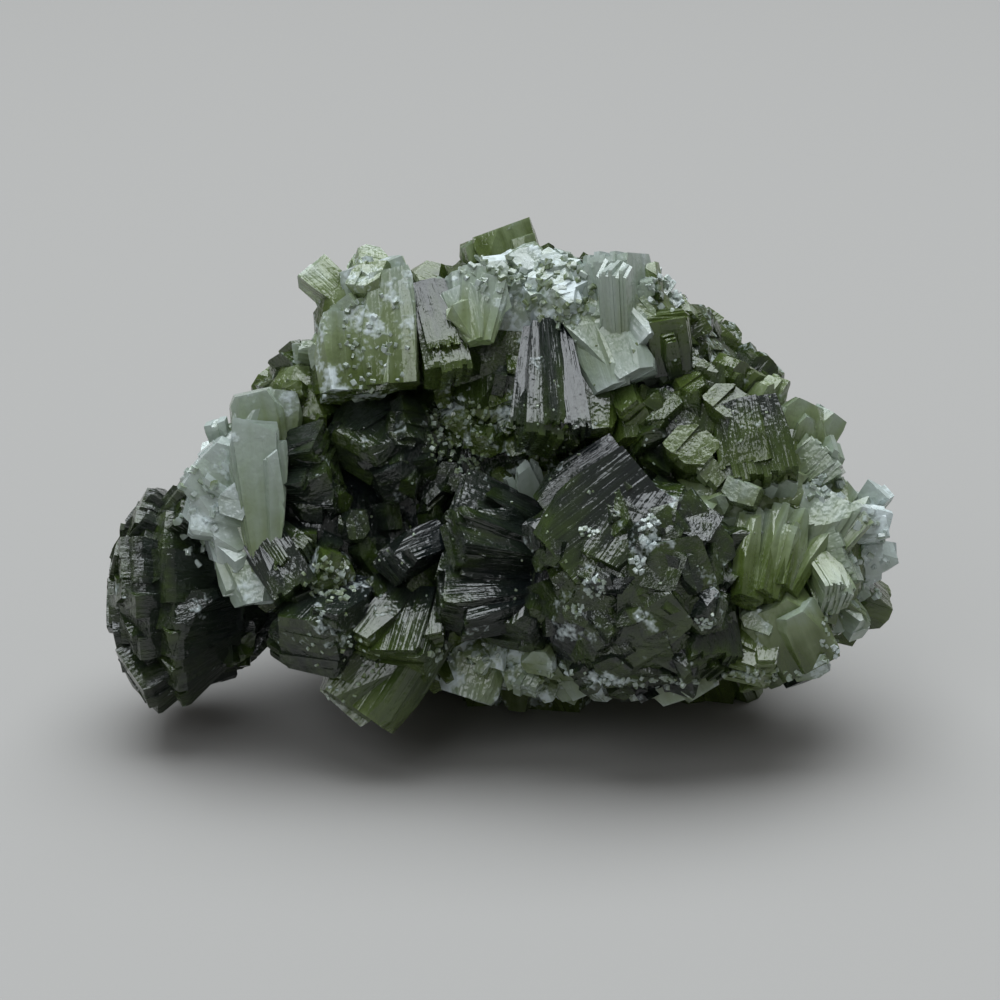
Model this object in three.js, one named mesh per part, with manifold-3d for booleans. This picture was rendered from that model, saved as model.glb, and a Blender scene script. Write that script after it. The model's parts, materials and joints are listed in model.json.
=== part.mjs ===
// A loose prehnite specimen, about 54 mm across: green tabular crystals grown together in fans.
// Every crystal is a stack of thin plates that spread from its root, as prehnite's bow-tie groups do,
// and all the stacks and the massive core behind them are one solid.
// Units are millimetres. +X is across the face that shows, +Y goes away from it and +Z is up.
// The origin is the middle of the bounding box at the resting plane.
import * as THREE from "three";
import { mergeVertices } from "three/addons/utils/BufferGeometryUtils.js";
import Module from "manifold-3d";

const wasm = await Module();
wasm.setup();

// Driving dimensions
const VIEW_RISE = THREE.MathUtils.degToRad(20); // the layout is as seen from this far above level
const FACE_LEAN = Math.tan(THREE.MathUtils.degToRad(8)); // the face leans back by this against that view
const FACE_CENTRE = new THREE.Vector3(0, -6.3, 18.8); // the middle of that face above the resting plane
const VIEW_DISTANCE = 210; // across and up are as seen from this far off, so what lies behind spreads a little
const PLATES = [
  { fromTurn: 0, count: 1 }, // a crystal whose broad face shows is one slab
  { fromTurn: 50, count: 2 },
  { fromTurn: 84, count: 3 }, // one whose plate edges show has its steps
];
const WIDTH_JITTER = 0.16; // a plate is up to this much narrower than its crystal
const NARROW_PLATE_SHORTER = 0.6; // how much lower a plate ends for being narrower
const OUTER_PLATE_SHORTER = 0.06; // the outside of a stack ends this much lower than the middle
const BLUNT_END = 0.75; // the end's width as a share of the shoulder's
const TRIM_SIZE = 200;
const PINHOLE_VOLUME = 1; // mm3

// Colours and finish of the one material
const PREHNITE_GREEN = 0x6f8a5c;
const CRYSTAL_ROUGHNESS = 0.3;

// The layout frame of the face that shows: across it, up it and out of it towards the viewer.
const ACROSS = new THREE.Vector3(1, 0, 0);
const UP = new THREE.Vector3(0, Math.sin(VIEW_RISE), Math.cos(VIEW_RISE));
const OUT = new THREE.Vector3(0, -Math.cos(VIEW_RISE), Math.sin(VIEW_RISE));

// Each row: name, root and tip [across, up, out], width and thickness at the tip,
// turn about the length (0 shows the broad face, 90 the edges of the plates), root size as a share
// of the tip's, and how pointed the end is.
const CRYSTALS = [
  // the pale rim at the upper left
  ["cap_left", [-7.7, 11.3, -4.0], [-8.0, 16.4, -1.5], 4.6, 3.0, 10, 0.9, 0.3],
  ["tooth_pale", [-7.8, 14.6, -1.6], [-7.0, 7.3, 0.5], 3.6, 2.6, 4, 0.8, 0.2],
  ["mottled_block", [-9.4, 12.9, -2.6], [-10.8, 6.9, 0.0], 4.8, 3.6, 8, 0.75, 0.3],
  ["striated_dark", [-4.9, 14.2, -2.2], [-3.4, 7.7, -0.5], 3.0, 3.2, 80, 0.7, 0.2],
  ["chevron", [-1.4, 15.4, -2.0], [-1.6, 10.5, 0.5], 4.6, 2.6, 5, 0.9, 0.9],
  ["frost_left", [0.2, 12.6, -4.0], [0.6, 15.7, -1.6], 3.6, 3.0, 30, 0.9, 0.4],
  ["frost_lump", [4.0, 11.3, -5.0], [3.2, 15.5, -0.9], 5.2, 4.0, 30, 0.8, 0.5],
  ["frost_right", [6.0, 11.0, -4.0], [5.3, 14.7, -1.4], 3.2, 3.0, 40, 0.9, 0.3],
  ["ridge_back", [1.4, 13.0, -8.0], [-0.3, 18.2, -7.0], 5.2, 4.0, 20, 0.9, 0.3],
  ["ridge_right", [4.2, 12.6, -7.0], [4.5, 16.3, -6.0], 3.6, 3.0, 40, 0.9, 0.4],
  ["green_upright", [8.3, 8.7, -2.4], [7.7, 16.6, -1.6], 4.4, 3.6, 62, 0.7, 0.1],
  ["frost_tip", [8.0, 11.0, -3.6], [10.9, 15.0, -6.0], 2.4, 2.4, 85, 0.8, 0.1],
  ["pale_smooth", [5.9, 13.2, -1.6], [8.8, 7.7, 0.0], 4.4, 2.6, 6, 0.7, 0.3],
  ["sparkle_block", [11.5, 8.5, -2.2], [11.1, 12.5, -0.5], 3.2, 3.0, 0, 1.0, 0.1],
  // the right shoulder
  ["shoulder_b", [15.2, 6.6, -4.4], [16.1, 9.4, -3.6], 2.8, 2.2, 40, 0.8, 0.4],
  ["shoulder_c", [16.6, 4.7, -5.0], [17.9, 8.5, -5.0], 3.4, 2.6, 60, 0.8, 0.5],
  ["pale_shoulder", [19.2, 2.6, -4.4], [20.8, 6.4, -4.0], 3.8, 3.0, 10, 0.8, 0.3],
  ["striped_shoulder", [18.6, 0.0, -3.4], [22.1, 3.2, -3.0], 3.4, 3.6, 80, 0.6, 0.2],
  ["mass_top", [13.2, 4.0, -4.0], [12.5, 8.5, -0.2], 5.6, 4.2, 35, 0.8, 0.3],
  ["mass_middle", [14.6, 3.4, -4.0], [15.9, 6.4, 0.8], 6.0, 5.0, 30, 0.7, 0.3],
  ["mass_pages", [15.8, 6.6, -2.6], [18.1, 1.0, 0.8], 3.4, 4.8, 84, 0.7, 0.2],
  // the bright columns and the fan on the right
  ["arc_edge", [15.6, -5.9, -3.4], [17.1, -0.5, -1.8], 5.2, 3.0, 8, 0.7, 0.4],
  ["column_bright_a", [16.8, -6.7, -1.6], [17.4, -1.0, 0.2], 1.8, 1.8, 70, 0.8, 0.1],
  ["column_bright_b", [17.6, -6.4, -1.8], [18.7, -0.6, 0.1], 1.8, 1.8, 70, 0.8, 0.2],
  ["column_bright_c", [18.4, -6.0, -2.4], [19.8, -0.9, 0.0], 1.8, 1.8, 70, 0.8, 0.1],
  ["slab_dark", [17.0, -7.2, -2.0], [14.3, -3.4, -0.2], 2.8, 2.2, 25, 0.9, 0.1],
  ["right_fan_a", [19.4, -5.6, -3.0], [22.3, 0.4, -2.0], 3.4, 4.2, 84, 0.5, 0.2],
  ["right_fan_b", [19.4, -5.0, -3.0], [23.5, -3.4, -2.0], 3.4, 4.4, 80, 0.5, 0.3],
  ["right_fan_c", [20.8, -3.8, -2.2], [22.4, -7.2, -0.2], 2.6, 2.2, 70, 0.8, 0.1],
  ["rim_white", [18.0, -3.2, -6.0], [26.0, -3.2, -7.0], 6.4, 3.4, 20, 0.7, 0.4],
  ["back_olive", [17.0, -5.4, -8.0], [25.6, -8.2, -9.0], 5.4, 4.4, 20, 0.7, 0.4],
  ["under_dark", [17.0, -5.4, -6.6], [19.8, -12.3, -5.0], 3.2, 2.6, 30, 0.8, 0.4],
  ["scallop", [20.0, -11.0, -2.6], [17.6, -6.6, 0.0], 5.4, 2.8, 4, 0.8, 0.4],
  ["scallop_low", [17.4, -7.4, -3.0], [16.0, -12.0, -0.6], 4.4, 2.6, 10, 0.8, 0.5],
  ["crust_right", [19.0, -10.6, -2.6], [22.2, -9.2, -1.8], 3.6, 2.0, 20, 0.8, 0.5],
  // the rounded lump that stands out in front
  ["lump_roof", [8.0, -5.4, 0.6], [9.4, 0.9, 2.2], 8.0, 3.2, 6, 0.9, 0.3],
  ["lump_side", [12.0, -7.4, -2.0], [14.5, -3.6, 1.0], 4.4, 4.2, 80, 0.6, 0.3],
  ["lump_side_low", [12.0, -6.7, -2.0], [14.2, -11.2, 1.0], 4.6, 4.2, 60, 0.6, 0.4],
  // the fan and the barrel in the middle
  ["fan", [6.2, -4.2, -2.4], [-4.0, -2.1, 1.0], 4.6, 4.0, 88, 0.3, 0.1],
  ["fan_step", [6.0, -3.6, -2.8], [-3.4, -0.2, 0.0], 4.0, 2.2, 88, 0.5, 0.1],
  ["barrel", [3.0, -6.6, -2.0], [-4.5, -6.9, 0.6], 4.2, 4.2, 84, 0.7, 0.1],
  ["barrel_low", [1.4, -6.0, -2.0], [0.4, -9.3, -0.4], 4.4, 3.2, 20, 0.9, 0.8],
  ["black_block", [-4.0, -2.8, -1.6], [-8.0, -4.4, 0.4], 3.6, 3.4, 60, 0.8, 0.1],
  ["curtain", [3.2, 11.2, -1.8], [3.2, 3.1, 0.5], 3.8, 3.8, 84, 0.65, 0.1],
  ["rhomb_green", [6.0, 8.7, -2.0], [6.3, 4.0, -0.4], 3.4, 2.4, 4, 0.8, 0.9],
  ["drusy_green", [8.0, 7.3, -3.0], [8.8, 3.0, -1.0], 3.6, 3.0, 45, 0.8, 0.4],
  ["inner_dark", [-1.3, 10.7, -5.0], [-1.3, 5.2, -4.0], 5.4, 3.0, 20, 0.9, 0.3],
  ["small_dark_a", [7.4, -1.6, -5.4], [4.9, 2.4, -1.0], 3.0, 2.6, 70, 0.7, 0.2],
  ["white_glint", [2.4, -1.4, -4.4], [1.5, 2.5, -1.0], 2.4, 1.6, 5, 0.8, 0.7],
  // the dark hollow left of the middle
  ["grey_rhomb", [-7.4, 5.6, -4.4], [-10.0, 2.6, -1.2], 4.6, 3.0, 10, 0.9, 0.2],
  ["grey_sparkle", [-6.6, 3.6, -4.4], [-5.3, 5.4, -1.6], 3.6, 3.2, 40, 0.8, 0.3],
  ["grey_low", [-6.6, 3.6, -4.4], [-6.7, 0.6, -1.8], 4.2, 3.0, 15, 0.8, 0.3],
  ["left_plates_up", [-15.8, 2.4, -3.4], [-11.4, 3.4, -1.0], 3.2, 3.4, 84, 0.7, 0.3],
  ["left_plates_low", [-15.8, 1.2, -3.4], [-11.0, 1.5, -0.8], 3.2, 2.8, 84, 0.7, 0.3],
  ["striated_low_left", [-16.6, -1.8, -3.2], [-13.3, -6.6, -0.2], 3.6, 3.2, 82, 0.8, 0.2],
  ["grey_small", [-12.2, -4.4, -3.0], [-11.0, -6.0, -0.4], 3.4, 2.2, 25, 0.9, 0.3],
  ["drusy_block", [-10.0, -6.7, -4.0], [-13.2, -10.0, -0.4], 5.2, 4.6, 45, 0.8, 0.3],
  ["olive_tip", [-5.6, -8.0, -3.4], [-10.6, -14.0, -3.8], 5.6, 3.8, 20, 0.9, 0.6],
  ["olive_right", [-5.3, -6.7, -3.0], [-6.7, -11.3, -1.0], 4.8, 3.6, 30, 0.9, 0.3],
  // the pale left edge
  ["column_top", [-15.8, 3.3, -2.2], [-16.6, 7.2, -1.0], 3.6, 2.8, 10, 0.9, 0.5],
  ["column_left", [-15.8, -4.4, -1.6], [-16.4, 5.0, 0.6], 3.4, 2.6, 12, 0.6, 0.3],
  ["bulge_a", [-17.0, 0.2, -2.2], [-20.0, 2.9, -1.0], 3.8, 2.6, 20, 0.9, 0.4],
  ["bulge_b", [-17.0, -1.0, -2.2], [-20.8, 0.2, -1.4], 4.2, 2.6, 15, 0.8, 0.4],
  ["bulge_c", [-16.6, -2.4, -2.4], [-19.4, -3.0, -1.6], 3.8, 2.4, 15, 0.8, 0.5],
  ["lower_rim", [-17.2, -1.6, -2.0], [-16.2, -7.2, -2.0], 3.4, 2.2, 8, 1.0, 0.6],
  ["behind_pale", [-10.0, 4.6, -8.4], [-14.2, 9.8, -6.6], 3.2, 2.8, 20, 0.9, 0.5],
  // the broken crust underneath, on which the specimen stands
  ["crust_a", [-1.3, -7.2, -6.0], [-3.4, -12.6, -7.8], 6.2, 3.2, 20, 0.9, 0.6],
  ["crust_b", [1.4, -6.6, -13.0], [2.8, -14.4, -19.0], 8.0, 5.0, 15, 0.9, 0.3],
  ["crust_c", [4.0, -7.6, -5.0], [5.8, -13.2, -8.6], 5.6, 2.8, 20, 0.9, 0.5],
  ["crust_d", [10.6, -9.4, -4.0], [12.0, -13.2, -5.4], 4.4, 2.8, 20, 0.9, 0.5],
  ["foot_right", [11.0, -7.0, -15.0], [14.0, -13.6, -20.4], 7.0, 5.0, 30, 0.9, 0.2],
  ["foot_back", [7.0, -3.0, -21.0], [10.4, -10.2, -28.0], 7.0, 6.0, 40, 0.9, 0.2],
  ["foot_back_left", [-4.0, -4.0, -19.0], [-9.0, -12.4, -23.0], 7.0, 6.0, 40, 0.9, 0.2],
];

// Groups that spread from a neck into a dome, as half of a bow tie does. Each ring is
// [angle from the axis in degrees, crystals in it].
const DOMES = [
  { name: "bow", neck: [-15.4, -7.7, -9.6], end: [-27.0, -5.8, -9.0], rings: [[0, 1], [19, 4], [37, 7]] },
  { name: "lump", neck: [9.2, -5.2, -3.4], end: [7.6, -7.2, 5.4], rings: [[0, 1], [24, 4], [44, 6]] },
];
const DOME_CRYSTAL = { rootShare: 0.25, point: 0.4, overlap: 1.2, lengthJitter: 0.1 };

// The massive prehnite behind the crystals: centre [across, up, out] and half sizes.
const CORE_LUMPS = [
  { centre: [4.0, 4.0, -14.0], half: [16.0, 10.0, 10.6] },
  { centre: [1.4, 9.6, -8.0], half: [12.0, 5.6, 6.0] },
  { centre: [14.0, -2.6, -9.6], half: [8.6, 8.0, 8.0] },
  { centre: [-5.4, 1.0, -13.6], half: [12.0, 10.0, 9.6] },
  { centre: [-11.8, -2.6, -8.0], half: [6.0, 7.4, 6.0] },
  { centre: [-2.3, -5.6, -8.0], half: [11.0, 4.6, 6.0] },
  { centre: [10.3, -6.0, -4.6], half: [7.6, 5.0, 5.6] },
  { centre: [3.0, -5.0, -17.4], half: [13.0, 6.2, 9.0] },
];

// The crystals that cover the back, spread evenly over the half of a bulged shape that faces away.
const BACK = {
  count: 23,
  centre: [2.6, 0.2, -13.6],
  half: [19.0, 13.0, 13.6],
  outLimit: 0.22, // how far round towards the face they reach, as a share of the depth
  width: [6.0, 9.0],
  thickness: [4.4, 6.8],
  reach: [0.96, 1.14],
};

// The three cross-sections of a crystal: how far along it each lies, and its size as shares of the full one.
const STATIONS = [
  (rootShare) => ({ share: 0, x: rootShare, y: rootShare }),
  (rootShare, point) => ({ share: 0.8 - 0.25 * point, x: 1, y: 1 }),
  (rootShare, point) => ({ share: 1, x: BLUNT_END * (1 - point) + 0.05, y: 0.92 }),
];

// The same random numbers at every run.
function randomFrom(seed) {
  let state = seed;
  return (low = 0, high = 1) => {
    state = (state + 0x6d2b79f5) | 0;
    let t = Math.imul(state ^ (state >>> 15), 1 | state);
    t = (t + Math.imul(t ^ (t >>> 7), 61 | t)) ^ t;
    return low + (high - low) * (((t ^ (t >>> 14)) >>> 0) / 4294967296);
  };
}

// A point of the layout frame in the part's frame.
function fromLayout([across, up, out]) {
  const spread = 1 - out / VIEW_DISTANCE;
  return FACE_CENTRE.clone()
    .addScaledVector(ACROSS, across * spread)
    .addScaledVector(UP, up * spread)
    .addScaledVector(OUT, out - up * FACE_LEAN);
}

// A three.js geometry as a manifold-3d solid.
function solidOf(geometry) {
  const bare = geometry.clone();
  bare.deleteAttribute("normal");
  bare.deleteAttribute("uv");
  const merged = mergeVertices(bare, 1e-4);
  return new wasm.Manifold(
    new wasm.Mesh({
      numProp: 3,
      vertProperties: new Float32Array(merged.attributes.position.array),
      triVerts: new Uint32Array(merged.index.array),
    }),
  );
}

// A manifold-3d solid as a three.js geometry.
function geometryOf(solid) {
  const mesh = solid.getMesh();
  const geometry = new THREE.BufferGeometry();
  geometry.setAttribute("position", new THREE.BufferAttribute(mesh.vertProperties, 3));
  geometry.setIndex(new THREE.BufferAttribute(mesh.triVerts, 1));
  return geometry;
}

// The same geometry without the closed pinholes that crystals leave where they meet.
function withoutPinholes(geometry) {
  const position = geometry.attributes.position;
  const index = geometry.index.array;
  const parent = Array.from({ length: position.count }, (_, vertex) => vertex);
  const rootOf = (vertex) => {
    while (parent[vertex] !== vertex) {
      parent[vertex] = parent[parent[vertex]];
      vertex = parent[vertex];
    }
    return vertex;
  };
  for (let i = 0; i < index.length; i += 3) {
    parent[rootOf(index[i])] = rootOf(index[i + 1]);
    parent[rootOf(index[i + 1])] = rootOf(index[i + 2]);
  }
  const volumes = new Map();
  const corner = [0, 1, 2].map(() => new THREE.Vector3());
  for (let i = 0; i < index.length; i += 3) {
    corner.forEach((point, k) => point.fromBufferAttribute(position, index[i + k]));
    const share = corner[0].dot(new THREE.Vector3().crossVectors(corner[1], corner[2])) / 6;
    const body = rootOf(index[i]);
    volumes.set(body, (volumes.get(body) ?? 0) + share);
  }
  const kept = [];
  for (let i = 0; i < index.length; i += 3) {
    if (Math.abs(volumes.get(rootOf(index[i]))) > PINHOLE_VOLUME) {
      kept.push(index[i], index[i + 1], index[i + 2]);
    }
  }
  geometry.setIndex(kept);
  return geometry.toNonIndexed();
}

// The end-on outline of a stack of plates, each plate with a half width of its own on either side.
function stackOutline(halfWidth, thickness, count, random) {
  const right = [];
  const left = [];
  for (let i = 0; i < count; i++) {
    const low = (i / count - 0.5) * thickness;
    const high = ((i + 1) / count - 0.5) * thickness;
    const rightWidth = halfWidth * (1 - random(0, WIDTH_JITTER));
    const leftWidth = halfWidth * (1 - random(0, WIDTH_JITTER));
    right.push(new THREE.Vector2(rightWidth, low), new THREE.Vector2(rightWidth, high));
    left.unshift(new THREE.Vector2(-leftWidth, high), new THREE.Vector2(-leftWidth, low));
  }
  return new THREE.Shape([...right, ...left]);
}

// A row of the list as the crystal's two ends, the direction in which its plates are stacked, and its form.
function placed([name, root, tip, width, thickness, turn, rootShare, point]) {
  const base = fromLayout(root);
  const end = fromLayout(tip);
  const along = end.clone().sub(base).normalize();
  const view = Math.abs(along.dot(OUT)) > 0.94 ? UP : OUT;
  const stack = view.clone().addScaledVector(along, -view.dot(along)).normalize();
  stack.applyAxisAngle(along, THREE.MathUtils.degToRad(turn));
  const { count } = PLATES.findLast(({ fromTurn }) => turn >= fromTurn);
  return { name, base, end, stack, width, thickness, count, rootShare, point };
}

// One crystal: a stack of plates that widens from its root to a shoulder and closes in a blunt end.
function crystal(crystalRow, random) {
  const { base, end, stack, width, thickness, count, rootShare, point } = crystalRow;
  const along = end.clone().sub(base);
  const length = along.length();
  along.normalize();
  const side = new THREE.Vector3().crossVectors(stack, along).normalize();
  const up = new THREE.Vector3().crossVectors(along, side);
  const place = new THREE.Matrix4().makeBasis(side, up, along).setPosition(base);

  const outline = stackOutline(width / 2, thickness, count, random);
  const settings = { depth: 1, steps: 2, bevelEnabled: false };
  const geometry = new THREE.ExtrudeGeometry(outline, settings);
  const position = geometry.attributes.position;
  for (let k = 0; k < position.count; k++) {
    const x = position.getX(k);
    const y = position.getY(k);
    const station = STATIONS[Math.round(position.getZ(k) * 2)](rootShare, point);
    const narrower = 1 - Math.abs(x) / (width / 2);
    const fromMiddle = Math.abs(y) / (thickness / 2);
    const reach = 1 - NARROW_PLATE_SHORTER * narrower - OUTER_PLATE_SHORTER * fromMiddle;
    position.setXYZ(k, x * station.x, y * station.y, station.share * length * reach);
  }
  return solidOf(geometry.applyMatrix4(place));
}

// The crystals of one dome. Their plates stand radially about the axis.
function domeCrystals({ name, neck, end, rings }, random) {
  const base = fromLayout(neck);
  const axis = fromLayout(end).sub(base);
  const length = axis.length();
  axis.normalize();
  const aside = new THREE.Vector3(0, 0, 1).cross(axis).normalize();
  const step = rings.length > 1 ? rings[1][0] : 90;
  const crystals = [];
  for (const [angle, count] of rings) {
    for (let i = 0; i < count; i++) {
      const around = ((i + 0.5 * (angle > step ? 1 : 0)) / count) * 2 * Math.PI;
      const outward = aside.clone().applyAxisAngle(axis, around);
      const lean = THREE.MathUtils.degToRad(angle + random(-3, 3));
      const direction = axis.clone().applyAxisAngle(new THREE.Vector3().crossVectors(axis, outward), lean);
      const reach = length * (1 - random(0, DOME_CRYSTAL.lengthJitter));
      const radial = length * Math.tan(THREE.MathUtils.degToRad(step)) * DOME_CRYSTAL.overlap;
      const girth = ((2 * Math.PI * length * Math.sin(lean)) / count) * DOME_CRYSTAL.overlap;
      crystals.push({
        name: `${name}_${angle}_${i}`,
        base,
        end: base.clone().addScaledVector(direction, reach),
        stack: new THREE.Vector3().crossVectors(direction, outward).normalize(),
        width: radial,
        thickness: angle > 0 ? girth : radial,
        count: 2,
        rootShare: DOME_CRYSTAL.rootShare,
        point: DOME_CRYSTAL.point,
      });
    }
  }
  return crystals;
}

// One rough lump of the core: a faceted ball whose corners are moved in and out a little.
function coreLump({ centre, half }, random) {
  const geometry = mergeVertices(new THREE.IcosahedronGeometry(1, 1).deleteAttribute("normal").deleteAttribute("uv"));
  const position = geometry.attributes.position;
  for (let k = 0; k < position.count; k++) {
    const swell = random(0.93, 1.05);
    const point = fromLayout([
      centre[0] + position.getX(k) * half[0] * swell,
      centre[1] + position.getY(k) * half[1] * swell,
      centre[2] + position.getZ(k) * half[2] * swell,
    ]);
    position.setXYZ(k, point.x, point.y, point.z);
  }
  return solidOf(geometry);
}

// Rows of the same form as CRYSTALS for the back of the specimen.
function backRows(random) {
  const rows = [];
  const goldenAngle = Math.PI * (3 - Math.sqrt(5));
  for (let i = 0; i < BACK.count; i++) {
    const out = BACK.outLimit - ((i + 0.5) / BACK.count) * (1 + BACK.outLimit);
    const ring = Math.sqrt(1 - out * out);
    const around = i * goldenAngle;
    const direction = [Math.cos(around) * ring, Math.sin(around) * ring, out];
    const reach = random(...BACK.reach);
    const tip = direction.map((d, axis) => BACK.centre[axis] + d * BACK.half[axis] * reach);
    const root = direction.map((d, axis) => BACK.centre[axis] + d * BACK.half[axis] * 0.45);
    rows.push([
      `back_${i}`,
      root,
      tip,
      random(...BACK.width),
      random(...BACK.thickness),
      random(0, 55),
      random(0.5, 0.8),
      random(0.1, 0.5),
    ]);
  }
  return rows;
}

// The whole specimen, cut level where it rests and moved so that its box stands on the origin.
function specimen() {
  const random = randomFrom(7);
  const solids = [
    ...CORE_LUMPS.map((lump) => coreLump(lump, random)),
    ...CRYSTALS.map((row) => crystal(placed(row), random)),
    ...DOMES.flatMap((dome) => domeCrystals(dome, random)).map((one) => crystal(one, random)),
    ...backRows(random).map((row) => crystal(placed(row), random)),
  ];
  const grown = wasm.Manifold.union(solids);
  const below = new THREE.BoxGeometry(TRIM_SIZE, TRIM_SIZE, TRIM_SIZE);
  below.translate(0, 0, -TRIM_SIZE / 2);
  const standing = grown.subtract(solidOf(below));
  const geometry = withoutPinholes(geometryOf(standing));
  geometry.computeBoundingBox();
  const middle = geometry.boundingBox.getCenter(new THREE.Vector3());
  return geometry.translate(-middle.x, -middle.y, 0);
}

const material = new THREE.MeshStandardMaterial({
  name: "prehnite",
  color: PREHNITE_GREEN,
  roughness: CRYSTAL_ROUGHNESS,
  metalness: 0,
});

const cluster = new THREE.Mesh(specimen(), material);
cluster.name = "prehnite_cluster";

const group = new THREE.Group();
group.add(cluster);

export default group;
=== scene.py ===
# %% [markdown]
# # A prehnite specimen
# This is a loose mineral specimen: green prehnite whose tabular crystals have grown together in fans.
# Each crystal is a packet of thin plates that spread from its root, so its sides are ribbed and its end
# is stepped. The lesson models a few packets of plates, copies them to where the crystals grew,
# and joins them all into one closed stone, with a material that lets light a little way in.

import json
import math
import random
from collections import namedtuple

import bpy
from mathutils import Matrix, Vector
from mathutils.bvhtree import BVHTree

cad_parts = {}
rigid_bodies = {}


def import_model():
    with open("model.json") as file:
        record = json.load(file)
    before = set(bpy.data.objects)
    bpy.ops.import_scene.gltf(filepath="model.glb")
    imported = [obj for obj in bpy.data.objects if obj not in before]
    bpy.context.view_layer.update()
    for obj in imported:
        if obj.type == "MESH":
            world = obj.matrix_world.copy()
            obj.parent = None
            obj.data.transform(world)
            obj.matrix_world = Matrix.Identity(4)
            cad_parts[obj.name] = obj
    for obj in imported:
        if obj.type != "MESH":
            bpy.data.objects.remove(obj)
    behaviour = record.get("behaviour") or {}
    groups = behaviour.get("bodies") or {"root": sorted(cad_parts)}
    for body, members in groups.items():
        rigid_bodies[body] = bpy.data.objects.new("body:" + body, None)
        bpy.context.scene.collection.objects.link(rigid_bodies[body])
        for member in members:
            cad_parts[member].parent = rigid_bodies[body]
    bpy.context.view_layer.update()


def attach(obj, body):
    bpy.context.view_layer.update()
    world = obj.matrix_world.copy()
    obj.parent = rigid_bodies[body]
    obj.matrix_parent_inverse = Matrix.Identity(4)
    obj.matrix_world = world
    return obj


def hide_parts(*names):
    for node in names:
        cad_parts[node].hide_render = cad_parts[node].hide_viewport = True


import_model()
CLUSTER = "prehnite_cluster"
MM = 0.001

# %% [markdown]
# ## The view
# The specimen lies on a pale floor, seen from about 20 degrees above level and about 21 cm away, with a
# long lens. Everything on its face is laid out in that view: across, up, and out towards the viewer, in
# millimetres from the middle of the face. What lies farther back looks smaller, so its place is spread by
# its distance. The camera is made first, because the layout depends on it.

# %% Camera and layout
VIEW_RISE = math.radians(20)
FACE_LEAN = math.tan(math.radians(8))  # the face leans back by this against the view
FACE_CENTRE = Vector((0.465, -9.856, 18.8))  # mm, in the part's frame
VIEW_DISTANCE = 210  # mm
LENS_MM = 113.4
SENSOR_MM = 36
AIM_BELOW = 0.18  # mm, how far under the face's middle the camera looks
CLIP_NEAR = 0.01  # m
CLIP_FAR = 10

ACROSS = Vector((1, 0, 0))
UP = Vector((0, math.sin(VIEW_RISE), math.cos(VIEW_RISE)))
OUT = Vector((0, -math.cos(VIEW_RISE), math.sin(VIEW_RISE)))


def from_layout(place):
    """A point of the layout, in millimetres in the part's frame."""
    across, up, out = place
    spread = 1 - out / VIEW_DISTANCE
    return FACE_CENTRE + ACROSS * across * spread + UP * up * spread + OUT * (out - up * FACE_LEAN)


def add_camera():
    """The camera, above level and with a long lens."""
    camera = bpy.data.cameras.new("view")
    camera.lens = LENS_MM
    camera.sensor_width = SENSOR_MM
    camera.clip_start = CLIP_NEAR
    camera.clip_end = CLIP_FAR
    holder = bpy.data.objects.new("view", camera)
    bpy.context.scene.collection.objects.link(holder)
    aim = FACE_CENTRE - Vector((0, 0, AIM_BELOW))
    holder.location = (aim + OUT * VIEW_DISTANCE) * MM
    holder.rotation_euler = (math.radians(90) - VIEW_RISE, 0, 0)
    bpy.context.scene.camera = holder
    return holder


add_camera()
print("camera at", [round(v, 4) for v in bpy.context.scene.camera.location])

# %% [markdown]
# ## The floor and the light
# A plain pale floor and a large soft light overhead make a small studio. The light comes from above and a
# little from behind, so thin crystals at the rim glow and the hollow in the face stays dark. A second,
# much weaker light at the front left keeps the darkest faces from going black.

# %% Floor and light
FLOOR_SIZE = 3.0  # m
FLOOR_GREY = "9c9a97"
FLOOR_ROUGHNESS = 0.7
SKY_GREY = "dcdcdc"
SKY_STRENGTH = 0.3
LIGHT_AIM = Vector((0, 0, 0.01))
LIGHTS = [
    # name, place and size in metres, power in watts, colour
    ("window", (0.0, 0.16, 0.75), 0.9, 10.6, "f0f6fb"),
    ("room", (-0.3, -0.5, 0.5), 0.4, 1.2, "eef3f8"),
]


def linear(hex_colour):
    """A screen colour such as "7f9a5c" as the linear colour that shaders use."""
    parts = [int(hex_colour[i : i + 2], 16) / 255 for i in (0, 2, 4)]
    return [c / 12.92 if c <= 0.04045 else ((c + 0.055) / 1.055) ** 2.4 for c in parts] + [1]


def deselect_all():
    """Nothing selected, so that the next operator acts only on what it makes."""
    if bpy.context.object and bpy.context.object.mode != "OBJECT":
        bpy.ops.object.mode_set(mode="OBJECT")
    bpy.ops.object.select_all(action="DESELECT")


def new_material(name):
    """An empty node material with its output and shader."""
    material = bpy.data.materials.new(name)
    material.use_nodes = True
    nodes = material.node_tree.nodes
    nodes.clear()
    output = nodes.new("ShaderNodeOutputMaterial")
    shader = nodes.new("ShaderNodeBsdfPrincipled")
    material.node_tree.links.new(shader.outputs["BSDF"], output.inputs["Surface"])
    return material, shader, output


def add_node(material, kind, links=(), **settings):
    """One node with its settings. links are (input, what it takes): an output socket or a plain value."""
    node = material.node_tree.nodes.new(kind)
    for key, value in settings.items():
        setattr(node, key, value)
    for socket, source in dict(links).items():
        if isinstance(source, bpy.types.NodeSocket):
            material.node_tree.links.new(source, node.inputs[socket])
        else:
            node.inputs[socket].default_value = source
    return node


def add_floor():
    """The pale matt floor."""
    deselect_all()
    bpy.ops.mesh.primitive_plane_add(size=FLOOR_SIZE, location=(0, 0, 0))
    floor = bpy.context.object
    floor.name = "table_top"
    material, shader, _ = new_material("pale_matt_table")
    shader.inputs["Base Color"].default_value = linear(FLOOR_GREY)
    shader.inputs["Roughness"].default_value = FLOOR_ROUGHNESS
    floor.data.materials.append(material)
    return floor


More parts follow.
